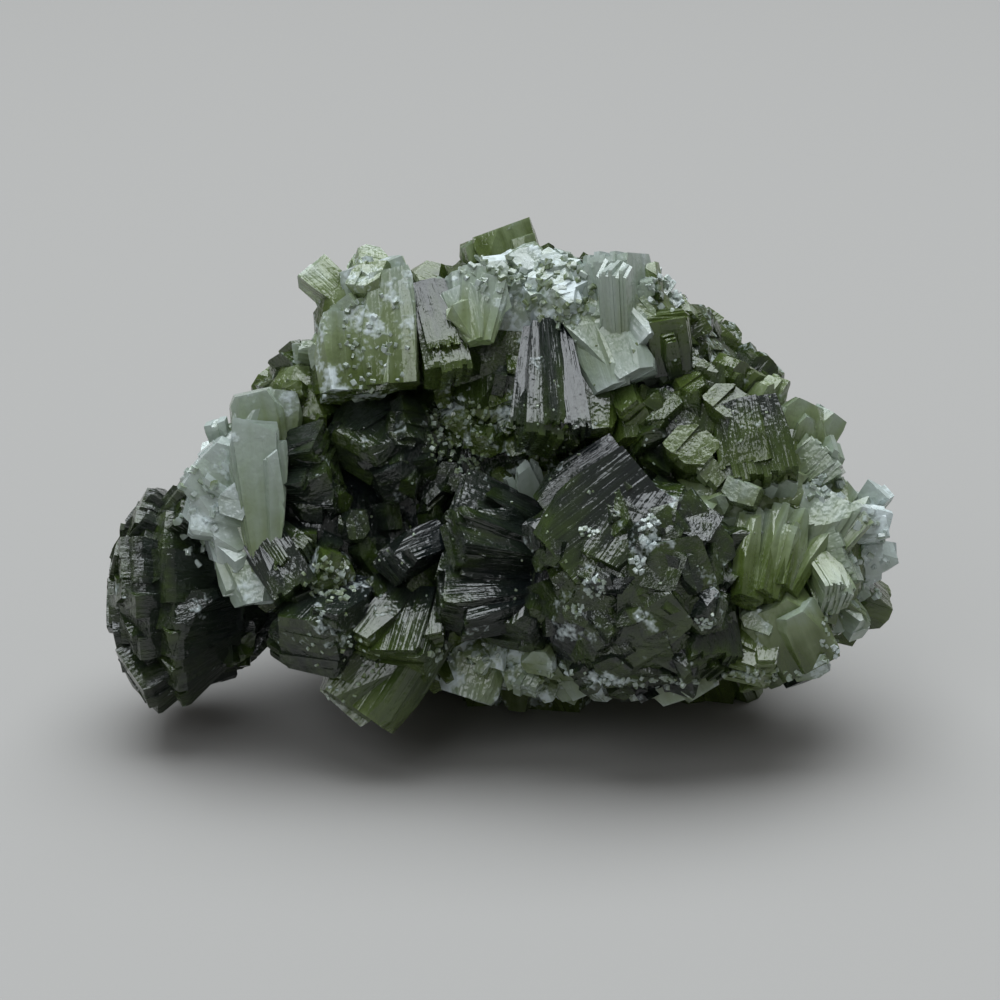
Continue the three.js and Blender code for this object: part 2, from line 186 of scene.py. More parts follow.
def add_area_light(name, place, size, power, colour):
    """A soft square light at that place, aimed at the specimen."""
    light = bpy.data.lights.new(name, "AREA")
    light.shape = "SQUARE"
    light.size = size
    light.energy = power
    light.color = linear(colour)[:3]
    holder = bpy.data.objects.new(name, light)
    holder.location = place
    holder.rotation_euler = (LIGHT_AIM - Vector(place)).to_track_quat("-Z", "Y").to_euler()
    bpy.context.scene.collection.objects.link(holder)
    return holder


def add_world():
    """A plain grey surrounding that fills the shadows."""
    world = bpy.data.worlds.new("studio")
    world.use_nodes = True
    background = world.node_tree.nodes["Background"]
    background.inputs["Color"].default_value = linear(SKY_GREY)
    background.inputs["Strength"].default_value = SKY_STRENGTH
    bpy.context.scene.world = world


add_floor()
add_world()
for light_row in LIGHTS:
    add_area_light(*light_row)
bpy.context.scene.view_settings.view_transform = "Standard"
print("floor and", len(LIGHTS), "lights in place")

# %% [markdown]
# ## One plate of a crystal
# Prehnite grows as thin tablets laid on each other. Each plate starts as a cube primitive at its own
# width, height and thickness, and its corners are then cut away with bisect: two shoulders at the end and
# a slightly sloping top. The model crystal is one unit long, wide and thick, so a copy can be scaled to
# any crystal's real size.

# %% A plate and a packet of plates
SHARE_EACH = 1.06  # a plate is this much thicker than its pitch, so that neighbours overlap and fuse
Kind = namedtuple("Kind", "plates width end shoulder slope corners")
KINDS = {
    # how many plates, how uneven their widths and their ends are, the shoulder's depth and width, how far the
    # end slopes, and how many corners are broken off
    "block": Kind(3, 0.05, 0.05, (0.16, 0.2), 0.24, 4),
    "book": Kind(7, 0.08, 0.1, (0.14, 0.24), 0.2, 3),
    "ribs": Kind(9, 0.07, 0.06, (0.07, 0.1), 0.14, 2),
    "blade": Kind(3, 0.1, 0.1, (0.36, 0.44), 0.24, 3),
    "knob": Kind(2, 0.04, 0.03, (0.06, 0.24), 0.12, 5),
    "ray": Kind(3, 0.04, 0.03, (0.06, 0.14), 0.08, 2),
    "slab": Kind(2, 0.03, 0.04, (0.16, 0.24), 0.12, 8),
    "grain": Kind(1, 0.2, 0.1, (0.3, 0.3), 0.3, 1),
    "splinter": Kind(3, 0.14, 0.2, (0.24, 0.34), 0.45, 3),
}
VARIANTS = 3
OUTER_NARROWER = 0.16  # how much narrower than the middle the outermost plates of a packet are
PLATE_DIFFERS = 0.07  # how much the slope of a plate's end differs from its crystal's
SLOPE_SINK = 0.3  # how far a sloping end is cut down, as a share of its slope
SLOPE_ASIDE = 0.6  # how much of its slope the end also has across the plates
BROKEN = (0.6, 1.4)  # how shallow or deep the shoulders of one crystal are
SHOULDER_DIFFERS = (0.75, 1.25)  # and how much each plate's differ from that
CORNER_DEPTH = (0.06, 0.16)  # how much is gone where a corner is broken off
TAPERS = (0.3, 0.5, 0.7, 0.9)  # how narrow the root is, as a share of the end
BULGE = 0.06  # the middle of a crystal is this much fuller than straight sides would make it
RINGS = (0.5,)  # the heights at which a crystal can bulge, as shares of its length
SAME_LEVEL = 1e-4  # vertices closer than this to a height are on it


def in_edit_mode(piece):
    """Opens one piece alone in edit mode."""
    deselect_all()
    piece.select_set(True)
    bpy.context.view_layer.objects.active = piece
    bpy.ops.object.mode_set(mode="EDIT")


def cut(place, normal):
    """Cuts all that is selected on a plane, and caps what is left behind it."""
    bpy.ops.mesh.select_all(action="SELECT")
    bpy.ops.mesh.bisect(plane_co=place, plane_no=normal, use_fill=True, clear_outer=True)


def add_plate(low, high, left, right, height, shoulder, slope):
    """One closed plate between y = low and high, from x = -left to right, cut to its blunt end."""
    deselect_all()
    size = (left + right, high - low, height)
    middle = ((right - left) / 2, (low + high) / 2, height / 2)
    bpy.ops.mesh.primitive_cube_add(size=1, location=middle, scale=size)
    plate = bpy.context.object
    bpy.ops.object.transform_apply(location=True, rotation=False, scale=True)
    in_edit_mode(plate)
    drop, inset = shoulder
    for side, edge in ((1, right), (-1, left)):
        corner = (side * edge, 0, height * (1 - drop))
        cut(corner, (side * drop * height, 0, inset * edge))
    cut((0, (low + high) / 2, height * (1 - abs(slope) * SLOPE_SINK)), (slope, slope * SLOPE_ASIDE, 1))
    bpy.ops.object.mode_set(mode="OBJECT")
    return plate


def fuse(pieces, name):
    """Unions closed pieces into the first and gives it the name."""
    first, rest = pieces[0], pieces[1:]
    group = bpy.data.collections.new("to_fuse")
    bpy.context.scene.collection.children.link(group)
    for piece in rest:
        for owner in list(piece.users_collection):
            owner.objects.unlink(piece)
        group.objects.link(piece)
    deselect_all()
    first.select_set(True)
    bpy.context.view_layer.objects.active = first
    union = first.modifiers.new("union", "BOOLEAN")
    union.operation = "UNION"
    union.operand_type = "COLLECTION"
    union.collection = group
    union.solver = "MANIFOLD"
    bpy.ops.object.modifier_apply(modifier=union.name)
    for piece in rest:
        mesh = piece.data
        bpy.data.objects.remove(piece)
        bpy.data.meshes.remove(mesh)
    bpy.data.collections.remove(group)
    first.name = first.data.name = name
    return first


def break_corner(draw):
    """Cuts one corner near the end off the crystal that is in edit mode."""
    side, face = draw.choice((-1, 1)), draw.choice((-1, 1))
    away = Vector((side, face * draw.uniform(0.2, 1), draw.uniform(-0.2, 1)))
    corner = Vector((0.5 * side, 0.5 * face, draw.uniform(0.5, 1)))
    cut(corner - away.normalized() * draw.uniform(*CORNER_DEPTH), away)


def model_crystal(kind, variant):
    """A packet of plates of that kind, one unit in each direction, rooted at the origin."""
    form = KINDS[kind]
    draw = random.Random(f"{kind}_{variant}")
    plates = []
    pitch = 1 / form.plates
    lie = draw.uniform(-form.slope, form.slope)
    broken = draw.uniform(*BROKEN)
    for i in range(form.plates):
        low = -0.5 + i * pitch - pitch * (SHARE_EACH - 1) / 2
        fullness = 1 - OUTER_NARROWER * abs(2 * (i + 0.5) * pitch - 1) ** 3
        left, right = (0.5 * fullness * (1 - draw.uniform(0, form.width)) for _ in range(2))
        height = 1 - draw.uniform(0, form.end)
        slope = lie + draw.uniform(-PLATE_DIFFERS, PLATE_DIFFERS)
        shoulder = [v * broken * draw.uniform(*SHOULDER_DIFFERS) for v in form.shoulder]
        plates.append(add_plate(low, low + pitch * SHARE_EACH, left, right, height, shoulder, slope))
    crystal = fuse(plates, f"model_{kind}_{variant}")
    in_edit_mode(crystal)
    for _ in range(form.corners):
        break_corner(draw)
    for height in RINGS:
        bpy.ops.mesh.select_all(action="SELECT")
        bpy.ops.mesh.bisect(plane_co=(0, 0, height), plane_no=(0, 0, 1))
    bpy.ops.object.mode_set(mode="OBJECT")
    return crystal


def copy_of(model, name):
    """A copy with its own mesh."""
    piece = model.copy()
    piece.data = model.data.copy()
    piece.name = name
    bpy.context.scene.collection.objects.link(piece)
    return piece


def narrowed(model, root_share):
    """A copy whose root is narrower than its end, with slightly full sides."""
    piece = copy_of(model, f"{model.name}_{root_share}")
    heights = [(0, root_share)]
    heights += [(h, root_share + (1 - root_share) * h + BULGE * math.sin(math.pi * h)) for h in RINGS]
    for height, share in heights:
        in_edit_mode(piece)
        bpy.ops.mesh.select_all(action="DESELECT")
        bpy.ops.object.mode_set(mode="OBJECT")
        for vertex in piece.data.vertices:
            vertex.select = abs(vertex.co.z - height) < SAME_LEVEL
        bpy.ops.object.mode_set(mode="EDIT")
        bpy.ops.mesh.select_mode(type="VERT")
        bpy.ops.transform.resize(value=(share, share, 1), center_override=(0, 0, height))
        bpy.ops.object.mode_set(mode="OBJECT")
    return piece


straight = {(kind, v): model_crystal(kind, v) for kind in KINDS for v in range(VARIANTS)}
MODELS = {(*key, taper): narrowed(model, taper) for key, model in straight.items() for taper in TAPERS}
print("model crystals, faces:", {f"{k}{v}": len(m.data.polygons) for (k, v), m in straight.items()})

# %% [markdown]
# ## Where each crystal grew
# Each crystal of the face is one line: where its root and its end are in the layout, how wide and thick
# it is, how far it is turned about its length (at 0 the broad face shows, at 90 the plate edges), how
# narrow its root is, which model it copies, how pale it is, and how frosted. Pale ones are thin and stand
# at the rim; their paleness is partly their own colour and partly painted glow of light coming through
# them from behind. The darkest stand around the hollow, where their long sides face out; their darkness
# is partly their own colour and partly painted shade of the hollow.

# %% The crystals of the face
CRYSTALS = [
    # name, root, end, width, thickness, turn, root share, model, paleness, frosting
    # the pale rim at the upper left: pale partly in its own colour and frost, partly as painted glow of light
    # coming through from behind
    ("cap_left", (-7.7, 11.3, -3.4), (-8.2, 16.3, -2.4), 3.6, 3.0, 20, 0.9, "block", 0.80, 0.55),
    ("tooth_pale", (-7.4, 7.4, -0.8), (-8.0, 15.4, -1.0), 4.2, 2.8, 4, 0.85, "slab", 0.70, 0.45),
    ("mottled_block", (-9.6, 6.8, -1.2), (-10.0, 13.2, -1.8), 4.6, 3.6, 14, 0.9, "slab", 0.60, 0.60),
    ("striated_dark", (-4.9, 14.2, -2.2), (-3.4, 7.7, -0.5), 3.0, 3.2, 80, 0.7, "ribs", 0.26, 0.05),
    ("chevron", (-1.3, 10.4, 0.2), (-1.7, 15.4, -1.6), 4.6, 2.4, 5, 0.35, "slab", 0.70, 0.20),
    ("frost_left", (0.2, 12.6, -4.0), (0.6, 15.7, -1.6), 3.6, 3.0, 30, 0.9, "block", 0.70, 0.80),
    ("frost_lump", (4.0, 11.3, -5.0), (3.2, 15.5, -0.9), 5.2, 4.0, 30, 0.8, "block", 0.72, 0.90),
    ("frost_right", (6.0, 11.0, -4.0), (5.3, 14.7, -1.4), 3.2, 3.0, 40, 0.9, "block", 0.70, 0.90),
    ("ridge_back", (1.4, 13.0, -8.0), (-0.3, 18.2, -7.0), 5.2, 4.0, 20, 0.9, "block", 0.50, 0.00),
    ("ridge_right", (4.2, 12.6, -7.0), (4.5, 16.3, -6.0), 3.6, 3.0, 40, 0.9, "block", 0.20, 0.10),
    ("green_upright", (8.3, 8.7, -2.4), (7.7, 16.6, -1.6), 4.4, 3.6, 62, 0.7, "ribs", 0.80, 0.10),
    ("frost_tip", (8.0, 11.0, -3.6), (10.9, 15.0, -6.0), 2.4, 2.4, 85, 0.8, "ribs", 0.90, 0.80),
    ("pale_smooth", (5.9, 13.2, -1.6), (8.8, 7.7, 0.0), 4.4, 2.6, 6, 0.7, "slab", 0.80, 0.00),
    ("sparkle_block", (11.5, 8.5, -2.2), (11.1, 12.5, -0.5), 3.2, 3.0, 0, 1.0, "book", 0.34, 0.10),
    # the right shoulder
    ("shoulder_b", (15.2, 6.6, -4.4), (16.1, 9.4, -3.6), 2.8, 2.2, 40, 0.8, "block", 0.35, 0.10),
    ("shoulder_c", (16.6, 4.7, -5.0), (17.9, 8.5, -5.0), 3.4, 2.6, 60, 0.8, "block", 0.50, 0.10),
    ("pale_shoulder", (19.2, 2.6, -4.4), (20.8, 6.4, -4.0), 3.8, 3.0, 10, 0.8, "block", 0.66, 0.10),
    ("striped_shoulder", (18.6, 0.0, -3.4), (22.1, 3.2, -3.0), 3.4, 3.6, 80, 0.6, "ribs", 0.62, 0.10),
    ("mass_top", (13.2, 4.4, -4.0), (12.5, 8.2, -0.6), 3.4, 3.0, 35, 0.8, "block", 0.24, 0.10),
    ("mass_middle", (14.6, 4.0, -4.0), (15.4, 6.6, 0.2), 3.2, 3.0, 60, 0.8, "block", 0.24, 0.05),
    ("mass_left", (11.4, 3.6, -4.0), (10.4, 6.4, 0.0), 3.4, 2.8, 20, 0.8, "block", 0.22, 0.05),
    ("mass_low", (12.6, 2.2, -3.4), (12.8, 3.6, 0.6), 3.4, 3.0, 50, 0.8, "block", 0.34, 0.00),
    ("mass_pages", (16.4, 6.2, -1.2), (17.8, 0.6, -0.2), 3.2, 4.4, 84, 0.8, "ribs", 0.36, 0.00),
    # painted glow: this crystal is made pale to stand for light shining through the thin crystals here from
    # behind
    ("glow", (17.0, -0.8, -3.6), (18.8, 2.2, -1.2), 3.2, 2.6, 10, 0.9, "block", 0.70, 0.00),
    # the bright columns and the fan on the right
    ("arc_edge", (15.6, -5.9, -3.4), (17.1, -0.5, -1.8), 5.2, 3.0, 8, 0.7, "slab", 0.70, 0.10),
    # painted highlight: these columns are made paler to stand for the bright glints on their striated faces,
    # which also tilt up to catch real reflections
    ("column_bright_a", (16.2, -6.9, 1.2), (17.2, -1.0, -1.4), 2.2, 1.8, 30, 0.9, "block", 0.58, 0.00),
    ("column_bright_b", (17.4, -6.6, 1.0), (18.6, -0.6, -1.4), 2.2, 1.8, 40, 0.9, "block", 0.60, 0.00),
    ("column_bright_c", (18.6, -6.2, 0.6), (19.9, -0.9, -1.6), 2.0, 1.8, 50, 0.9, "block", 0.60, 0.00),
    ("slab_dark", (17.0, -7.2, -2.0), (14.3, -3.4, -0.2), 2.8, 2.2, 25, 0.9, "block", 0.24, 0.00),
    # the pale yellow-green of this fan is partly its own colour and partly painted glow of light coming
    # through it from behind
    ("right_fan_a", (19.4, -5.6, -3.0), (22.3, 0.4, -2.0), 3.4, 4.2, 84, 0.5, "ribs", 0.68, 0.05),
    ("right_fan_b", (19.4, -5.0, -3.0), (23.5, -3.4, -2.0), 3.4, 4.4, 80, 0.5, "ribs", 0.68, 0.05),
    ("right_fan_c", (20.8, -3.8, -2.2), (22.4, -7.2, -0.2), 2.6, 2.2, 70, 0.8, "ribs", 0.58, 0.00),
    # the white of this rim crystal is partly its own frosted colour and partly painted glow of light coming
    # through it from behind
    ("rim_white", (20.0, -3.2, -5.0), (25.3, -2.8, -5.8), 5.6, 3.0, 20, 0.9, "block", 1.00, 0.60),
    ("back_olive", (17.0, -5.4, -8.0), (25.6, -8.2, -9.0), 5.4, 4.4, 20, 0.7, "block", 0.36, 0.05),
    ("under_dark", (17.0, -5.4, -6.6), (19.8, -12.3, -5.0), 3.2, 2.6, 30, 0.8, "block", 0.10, 0.00),
    ("scallop", (20.0, -11.0, -2.6), (17.6, -6.6, 0.0), 5.4, 2.8, 4, 0.8, "slab", 0.56, 0.05),
    ("scallop_low", (17.4, -7.4, -3.0), (16.0, -12.0, -0.6), 4.4, 2.6, 10, 0.8, "book", 0.42, 0.25),
    ("crust_right", (19.0, -10.6, -2.6), (22.2, -9.2, -1.8), 3.6, 2.0, 20, 0.8, "blade", 0.80, 0.40),
    # the rounded lump that stands out in front
    ("lump_roof", (9.8, 1.0, 1.8), (3.2, -4.2, 2.6), 6.4, 3.0, 8, 0.9, "slab", 0.16, 0.10),
    ("lump_side", (12.0, -7.4, -2.0), (14.5, -3.6, 1.0), 4.4, 4.2, 80, 0.6, "ribs", 0.16, 0.10),
    ("lump_side_low", (12.0, -6.7, -2.0), (14.2, -11.2, 1.0), 4.6, 4.2, 60, 0.6, "ribs", 0.16, 0.15),
    # the fan and the barrel in the middle
    ("fan", (6.2, -4.4, -2.2), (-3.8, -2.4, 1.0), 4.8, 3.6, 42, 0.35, "ribs", 0.12, 0.00),
    ("fan_step", (6.0, -3.4, -3.2), (-3.2, 0.2, -1.2), 4.4, 2.2, 34, 0.45, "ribs", 0.10, 0.00),
    ("barrel", (3.4, -6.4, -2.0), (-4.5, -7.1, 0.6), 3.8, 4.0, 38, 0.7, "ribs", 0.10, 0.05),
    ("barrel_low", (1.4, -6.0, -2.0), (0.4, -9.3, -0.4), 4.4, 3.2, 20, 0.9, "block", 0.18, 0.10),
    # in the hollow: this block's near-black is partly its own colour and partly painted shade
    ("black_block", (-4.0, -2.8, -2.2), (-7.6, -4.6, 0.0), 2.8, 2.8, 15, 0.8, "ribs", 0.06, 0.00),
    ("curtain", (3.2, 11.2, -2.0), (3.2, 3.1, 0.9), 3.8, 3.8, 76, 0.75, "ribs", 0.14, 0.00),
    ("rhomb_green", (6.0, 8.7, -2.0), (6.3, 4.0, -0.4), 3.4, 2.4, 4, 0.8, "slab", 0.30, 0.00),
    ("drusy_green", (8.0, 7.3, -3.0), (8.8, 3.0, -1.0), 3.6, 3.0, 45, 0.8, "book", 0.34, 0.10),
    ("inner_dark", (-1.3, 10.7, -5.0), (-1.3, 5.2, -4.0), 5.4, 3.0, 20, 0.9, "block", 0.24, 0.20),
    ("small_dark_a", (7.6, -0.8, -5.4), (4.7, 2.2, -1.2), 3.0, 2.6, 36, 0.7, "ribs", 0.10, 0.05),
    # painted highlight: this thin blade is made nearly white to stand for a bright glint
    ("white_glint", (2.2, -1.2, -3.6), (1.5, 2.4, -1.4), 1.7, 1.2, 5, 0.8, "blade", 0.84, 0.10),
    # the dark hollow left of the middle: its crystals are nearly black, partly in their own colour and partly
    # as painted shade of the hollow
    ("grey_rhomb", (-7.4, 5.6, -4.4), (-10.0, 2.6, -1.2), 4.6, 3.0, 10, 0.9, "block", 0.12, 0.10),
    ("grey_sparkle", (-6.6, 3.6, -4.4), (-5.3, 5.4, -1.6), 3.6, 3.2, 40, 0.8, "block", 0.12, 0.20),
    ("grey_low", (-6.6, 3.6, -4.4), (-6.7, 0.6, -1.8), 4.2, 3.0, 15, 0.8, "block", 0.12, 0.10),
    ("left_plates_up", (-15.8, 2.6, -3.4), (-11.2, 3.4, -1.0), 3.2, 3.0, -40, 0.7, "ribs", 0.12, 0.00),
    ("left_plates_low", (-15.8, 0.8, -3.4), (-10.8, 1.2, -0.8), 3.2, 2.6, -36, 0.7, "ribs", 0.10, 0.00),
    ("striated_low_left", (-16.6, -1.8, -3.2), (-13.3, -6.6, -0.2), 3.6, 3.2, 82, 0.8, "ribs", 0.16, 0.00),
    ("grey_small", (-12.2, -4.4, -3.0), (-11.0, -6.0, -0.4), 3.4, 2.2, 25, 0.9, "block", 0.30, 0.50),
    ("drusy_block", (-10.0, -6.7, -4.0), (-13.2, -10.0, -0.4), 5.2, 4.6, 45, 0.8, "book", 0.10, 0.30),
    ("olive_tip", (-5.6, -8.0, -3.4), (-10.6, -14.0, -3.8), 5.6, 3.8, 20, 0.9, "slab", 0.34, 0.15),
    ("olive_right", (-5.3, -6.7, -3.0), (-6.7, -11.3, -1.0), 4.8, 3.6, 30, 0.9, "book", 0.30, 0.10),
    # the pale left edge
    ("column_top", (-15.8, 3.3, -2.2), (-16.6, 7.2, -1.0), 3.6, 2.8, 10, 0.9, "slab", 0.72, 0.20),
    ("column_left", (-15.6, -5.0, -1.4), (-16.7, 5.4, 0.2), 3.6, 2.6, 12, 0.6, "ribs", 0.78, 0.35),
    ("bulge_a", (-17.0, 0.2, -2.2), (-20.0, 2.9, -1.0), 3.8, 2.6, 20, 0.9, "slab", 0.86, 0.30),
    ("bulge_b", (-17.0, -1.0, -2.2), (-20.8, 0.2, -1.4), 4.2, 2.6, 15, 0.8, "slab", 0.90, 0.35),
    ("bulge_c", (-16.6, -2.4, -2.4), (-19.4, -3.0, -1.6), 3.8, 2.4, 15, 0.8, "slab", 0.88, 0.35),
    ("lower_rim", (-17.2, -1.6, -2.0), (-16.2, -7.2, -2.0), 3.4, 2.2, 8, 1.0, "slab", 0.74, 0.30),
    ("behind_pale", (-10.0, 4.6, -8.4), (-14.2, 9.8, -6.6), 3.2, 2.8, 20, 0.9, "block", 0.84, 0.30),
    # the broken crust underneath, on which the specimen stands
    ("crust_a", (-1.3, -7.6, -5.6), (-3.4, -12.4, -7.0), 6.2, 3.2, 20, 0.9, "slab", 0.66, 0.60),
    ("crust_b", (1.4, -6.6, -13.0), (2.8, -14.4, -19.0), 8.0, 5.0, 15, 0.9, "block", 0.44, 0.30),
    ("crust_c", (4.0, -8.0, -4.6), (5.4, -13.0, -7.6), 5.6, 2.8, 20, 0.9, "slab", 0.64, 0.60),
    ("crust_d", (10.6, -9.4, -4.0), (12.0, -13.2, -5.0), 4.4, 2.8, 20, 0.9, "slab", 0.60, 0.50),
    ("foot_right", (11.0, -7.0, -15.0), (14.0, -13.6, -20.4), 7.0, 5.0, 30, 0.9, "block", 0.40, 0.10),
    ("foot_back", (7.0, -3.0, -21.0), (10.4, -10.2, -28.0), 7.0, 6.0, 40, 0.9, "block", 0.40, 0.10),
    ("foot_back_left", (-4.0, -4.0, -19.0), (-9.0, -12.4, -23.0), 7.0, 6.0, 40, 0.9, "block", 0.40, 0.10),
]
print(len(CRYSTALS), "crystals on the face")

# %% [markdown]
# ## Placing a crystal
# A copy of the model is scaled to its real size and turned into place. The stone's material needs to know
# how each crystal grew: its growth direction, the direction in which its plates are stacked and its root
# are kept on its faces, and these survive when the crystals are fused. No crystal stands alone: smaller
# ones have grown beside it, nearly parallel, so each line of the list also gives a few companions that
# break up its sides and its end.

# %% Placing
COMPANIONS = 4
FROSTED_COMPANIONS = 9  # where it is heavily frosted, many small ones crowd together
HEAVY_FROST = 0.7
COMPANION_SIZE = (0.36, 0.66)  # width and thickness, as a share of the crystal's
COMPANION_THICKER = 1.2
SLAB_COMPANIONS = 3
SLAB_COMPANION_SIZE = (0.6, 0.9)
COMPANION_LENGTH = (0.7, 1.02)
COMPANION_TURN = 24  # degrees
COMPANION_LEAN = 0.16
COMPANION_ROOT = 0.3  # how far aside it is rooted, as a share of the crystal's size
COMPANION_SPREAD = 0.16  # how much farther aside it ends
PALENESS_DIFFERS = 0.05
END_ON = 0.94  # a crystal that points this closely at the viewer has its turn measured from up


def set_on_faces(piece, name, value):
    """Keeps a number or a vector on every face of a piece."""
    vector = isinstance(value, Vector)
    attribute = piece.data.attributes.new(name, "FLOAT_VECTOR" if vector else "FLOAT", "FACE")
    values = (list(value) if vector else [value]) * len(piece.data.polygons)
    attribute.data.foreach_set("vector" if vector else "value", values)


def placed_copy(name, base, end, stack, width, thickness, root_share, kind, pale, frost, draw):
    """A copy of a model crystal at its real size and place. base and end are in millimetres."""
    taper = min(TAPERS, key=lambda share: abs(share - root_share))
    piece = copy_of(MODELS[(kind, draw.randrange(VARIANTS), taper)], name)
    along = (end - base).normalized()
    side = stack.cross(along).normalized()
    stack = along.cross(side)
    flip = draw.choice((1, -1))
    turned = Matrix((side * flip, stack * flip, along)).transposed().to_4x4()
    size = Matrix.Diagonal((width, thickness, (end - base).length, 1))
    piece.data.transform(Matrix.Scale(MM, 4) @ Matrix.Translation(base) @ turned @ size)
    set_on_faces(piece, "root", base * MM)
    set_on_faces(piece, "growth", along / ((end - base).length * MM))
    set_on_faces(piece, "stacking", stack)
    set_on_faces(piece, "paleness", pale + draw.uniform(-PALENESS_DIFFERS, PALENESS_DIFFERS))
    set_on_faces(piece, "frosting", frost)
    return piece


def stacking_direction(base, end, turn):
    """Where the plates of a crystal are stacked, from its turn about its length in degrees."""
    along = (end - base).normalized()
    view = UP if abs(along.dot(OUT)) > END_ON else OUT
    stack = (view - along * view.dot(along)).normalized()
    return Matrix.Rotation(math.radians(turn), 3, along) @ stack


def crystal_group(row, draw, companions=None):
    """The crystal of one line of the list, and its companions."""
    name, root, tip, width, thickness, turn, root_share, kind, pale, frost = row
    spread = COMPANION_SIZE
    if kind == "slab":
        companions, spread = SLAB_COMPANIONS, SLAB_COMPANION_SIZE
    elif companions is None:
        companions = FROSTED_COMPANIONS if frost > HEAVY_FROST else COMPANIONS
    base, end = from_layout(root), from_layout(tip)
    stack = stacking_direction(base, end, turn)
    group = [placed_copy(name, base, end, stack, width, thickness, root_share, kind, pale, frost, draw)]
    along = end - base
    side = stack.cross(along).normalized()
    for i in range(companions):
        share = draw.uniform(*spread)
        angle = 2 * math.pi * (i + draw.uniform(0, 0.6)) / companions
        aside = side * math.cos(angle) * width + stack * math.sin(angle) * thickness
        lean = side * draw.uniform(-1, 1) + stack * draw.uniform(-1, 1)
        start = base + aside * COMPANION_ROOT * root_share
        reach = along * draw.uniform(*COMPANION_LENGTH) + lean * along.length * COMPANION_LEAN
        finish = start + reach + aside * COMPANION_SPREAD
        more_turn = math.radians(draw.uniform(-1, 1) * COMPANION_TURN)
        turned = Matrix.Rotation(more_turn, 3, along.normalized()) @ stack
        size = (width * share, thickness * draw.uniform(*COMPANION_SIZE) * COMPANION_THICKER)
        look = (root_share, kind, pale, frost)
        group.append(placed_copy(f"{name}_{i}", start, finish, turned, *size, *look, draw))
    return group


growing = random.Random(11)
crystals = [piece for row in CRYSTALS for piece in crystal_group(row, growing)]
print(len(crystals), "crystals placed")

# %% [markdown]
# ## Domes
# At the far left one group has grown out from a neck into half a bow tie, and another stands out in front
# as a rounded lump. In both, crystals spread from one point in rings, with their plates standing
# radially, so the ends make a rough dome. One crystal is on the axis, and each ring outside it has more.

# %% Domes
BOW_RINGS = [(0, 1, 1.0), (11, 7, 1.0), (21, 11, 1.0), (31, 14, 0.99), (39, 16, 0.86)]
LUMP_RINGS = [(0, 1, 1.0), (20, 5, 1.0), (39, 9, 1.0), (57, 12, 0.98), (72, 13, 0.9)]
DOMES = [
    # name, neck, end, rings of (angle in degrees, crystals, reach), model, root share, paleness, frosting
    ("bow", (-14.4, -6.4, -9.2), (-26.1, -6.3, -9.8), BOW_RINGS, "ray", 0.3, 0.1, 0.1),
    ("lump", (9.2, -5.2, -3.4), (7.8, -6.9, 4.3), LUMP_RINGS, "knob", 0.5, 0.11, 0.2),
]
DOME_OVERLAP = 1.6
DOME_RAGGED = 0.045
DOME_LEAN = (-5, 4)  # degrees
DOME_SIZE_DIFFERS = (0.85, 1.15)


def dome(name, neck, end, rings, kind, root_share, pale, frost, draw):
    """The crystals of one dome."""
    base = from_layout(neck)
    axis = from_layout(end) - base
    length = axis.length
    axis.normalize()
    aside = Vector((0, 0, 1)).cross(axis).normalized()
    step = math.radians(rings[1][0])
    radial = length * math.tan(step) * DOME_OVERLAP
    look = (root_share, kind, pale, frost)
    pieces = []
    for angle, count, share in rings:
        ring = 2 * math.pi * length * math.sin(math.radians(angle))
        girth = ring / count * DOME_OVERLAP if angle else radial
        for i in range(count):
            around = (i + draw.uniform(0, 0.4)) / count * 2 * math.pi
            outward = Matrix.Rotation(around, 3, axis) @ aside
            lean = math.radians(angle + draw.uniform(*DOME_LEAN))
            direction = Matrix.Rotation(lean, 3, axis.cross(outward)) @ axis
            reach = length * share * (1 - draw.uniform(0, DOME_RAGGED))
            stack = direction.cross(outward).normalized()
            tip = base + direction * reach
            size = (radial * draw.uniform(*DOME_SIZE_DIFFERS), girth * draw.uniform(*DOME_SIZE_DIFFERS))
            pieces.append(placed_copy(f"{name}_{angle}_{i}", base, tip, stack, *size, *look, draw))
    return pieces


for row in DOMES:
    crystals += dome(*row, growing)
print(len(crystals), "crystals with the domes")

# %% [markdown]
# ## The back
# The side that doesn't show is taken to be the same kind of growth, coarser and plainer: crystals stand
# out all over a rounded mass. Directions are spread evenly over a sphere with the golden angle, and those
# that would stand on the face are left out.

# %% The back
BACK_COUNT = 58
BACK_CENTRE = (2.6, 0.2, -13.6)
BACK_HALF = (19.0, 13.0, 13.6)
BACK_OUT_LIMIT = 0.22
BACK_REACH = (0.9, 1.0)  # where a crystal ends, as a share of the way out from the centre
BACK_ROOT = 0.45  # and where it is rooted
BACK_KINDS = ("block", "slab", "ribs", "block")
BACK_PALENESS = (0.15, 0.6)
BACK_FROST = 0.15
BACK_WIDTH = (3.4, 5.8)
BACK_THICKNESS = (3.0, 4.8)
BACK_ROOT_SHARE = (0.5, 0.8)
BACK_COMPANIONS = 2
GOLDEN_ANGLE = math.pi * (3 - math.sqrt(5))


